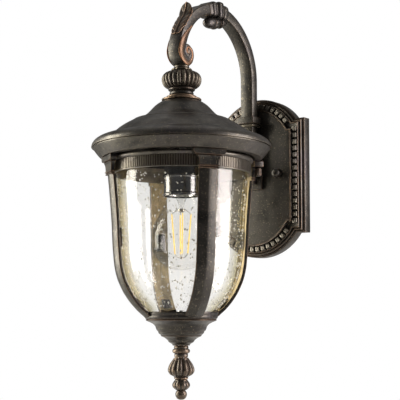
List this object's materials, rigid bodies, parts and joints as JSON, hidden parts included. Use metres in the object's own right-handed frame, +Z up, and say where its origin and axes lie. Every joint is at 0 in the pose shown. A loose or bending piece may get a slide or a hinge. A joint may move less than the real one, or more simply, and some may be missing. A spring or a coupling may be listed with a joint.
{
  "type": "outdoor wall lantern",
  "caption": "Hanging bell lantern on a crook arm and shouldered wall plate, dark bronze cage, seeded glass bell and filament lamp.",
  "frame": {"origin": "on the wall plane, behind the middle of the wall plate", "axes": "+X to the right along the wall, -Y out of the wall toward the room, +Z up"},
  "size_m": [0.1772, 0.2351, 0.4038],
  "materials": {
    "bronze_casting": "dark antique bronze paint over cast aluminium, olive and mauve-brown highlights, rubbed edges",
    "bronze_spinning": "dark antique bronze paint over spun aluminium, soft satin",
    "copper_rub": "dark bronze rubbed through to copper on the raised edges",
    "zinc_plate": "bright zinc plate",
    "green_screw": "green ground screw",
    "phenolic": "black phenolic",
    "rubber_pad": "matt black",
    "brass": "plain brass",
    "bulb_cap": "plain aluminium",
    "bulb_glass": "clear",
    "seeded_glass": "clear seeded glass with a faint champagne tint",
    "phosphor": "yellow phosphor coat"
  },
  "bodies": {
    "fixture": {"mounting_bar": "zinc_plate", "ground_screw": "green_screw", "backplate": "bronze_casting", "bar_stud_1": "zinc_plate", "bar_stud_2": "zinc_plate", "cap_nut_1": "bronze_casting", "cap_nut_2": "bronze_casting", "arm_screw_1": "zinc_plate", "arm_screw_2": "zinc_plate", "wall_arm": "bronze_casting", "arm_leaf": "copper_rub", "arm_collar": "bronze_casting", "arm_collar_bead": "bronze_casting", "knuckle_band": "bronze_casting", "knuckle_bud": "bronze_casting", "stem_nipple": "zinc_plate", "cuff_ring": "bronze_casting", "melon_knob": "bronze_casting", "neck_spacer": "bronze_casting", "roof_cap": "copper_rub", "roof": "bronze_spinning", "cornice_ring": "bronze_spinning", "roof_locknut": "zinc_plate", "socket_cup": "bronze_spinning", "socket_body": "phenolic", "screw_shell": "brass", "centre_contact": "brass"},
    "cage": {"cage_band": "bronze_casting", "bell_glass": "seeded_glass", "rib_1": "bronze_casting", "rib_2": "bronze_casting", "rib_3": "bronze_casting", "rib_4": "bronze_casting", "glass_pad_1": "rubber_pad", "glass_pad_2": "rubber_pad", "glass_pad_3": "rubber_pad", "glass_pad_4": "rubber_pad", "foot_pad_1": "rubber_pad", "foot_pad_2": "rubber_pad", "foot_pad_3": "rubber_pad", "foot_pad_4": "rubber_pad", "bottom_cup": "bronze_casting", "cup_nut": "zinc_plate", "finial_rod": "zinc_plate", "finial_collar": "copper_rub", "finial_urn": "bronze_casting", "finial_drop": "bronze_casting"},
    "bulb": {"bulb_glass": "bulb_glass", "bulb_cap": "bulb_cap", "bulb_contact": "brass", "bulb_stem": "bulb_glass", "filament_1": "phosphor", "filament_2": "phosphor", "filament_3": "phosphor", "filament_4": "phosphor"},
    "screw_1": {"thumb_screw_1": "bronze_casting"},
    "screw_2": {"thumb_screw_2": "bronze_casting"}
  },
  "joints": [
    {"name": "cage_lower", "type": "slide", "parent": "fixture", "child": "cage", "axis": [0, 0, -1], "range_m": [0, 0.13]},
    {"name": "bulb_draw", "type": "slide", "parent": "fixture", "child": "bulb", "axis": [0, 0, -1], "range_m": [0, 0.026]},
    {"name": "screw_1_turn", "type": "hinge", "parent": "cage", "child": "screw_1", "pos_m": [0.05287, -0.08895, -0.006], "axis": [0, 0, 1], "continuous": true},
    {"name": "screw_2_turn", "type": "hinge", "parent": "cage", "child": "screw_2", "pos_m": [-0.05705, -0.09313, -0.006], "axis": [0, 0, 1], "continuous": true}
  ]
}
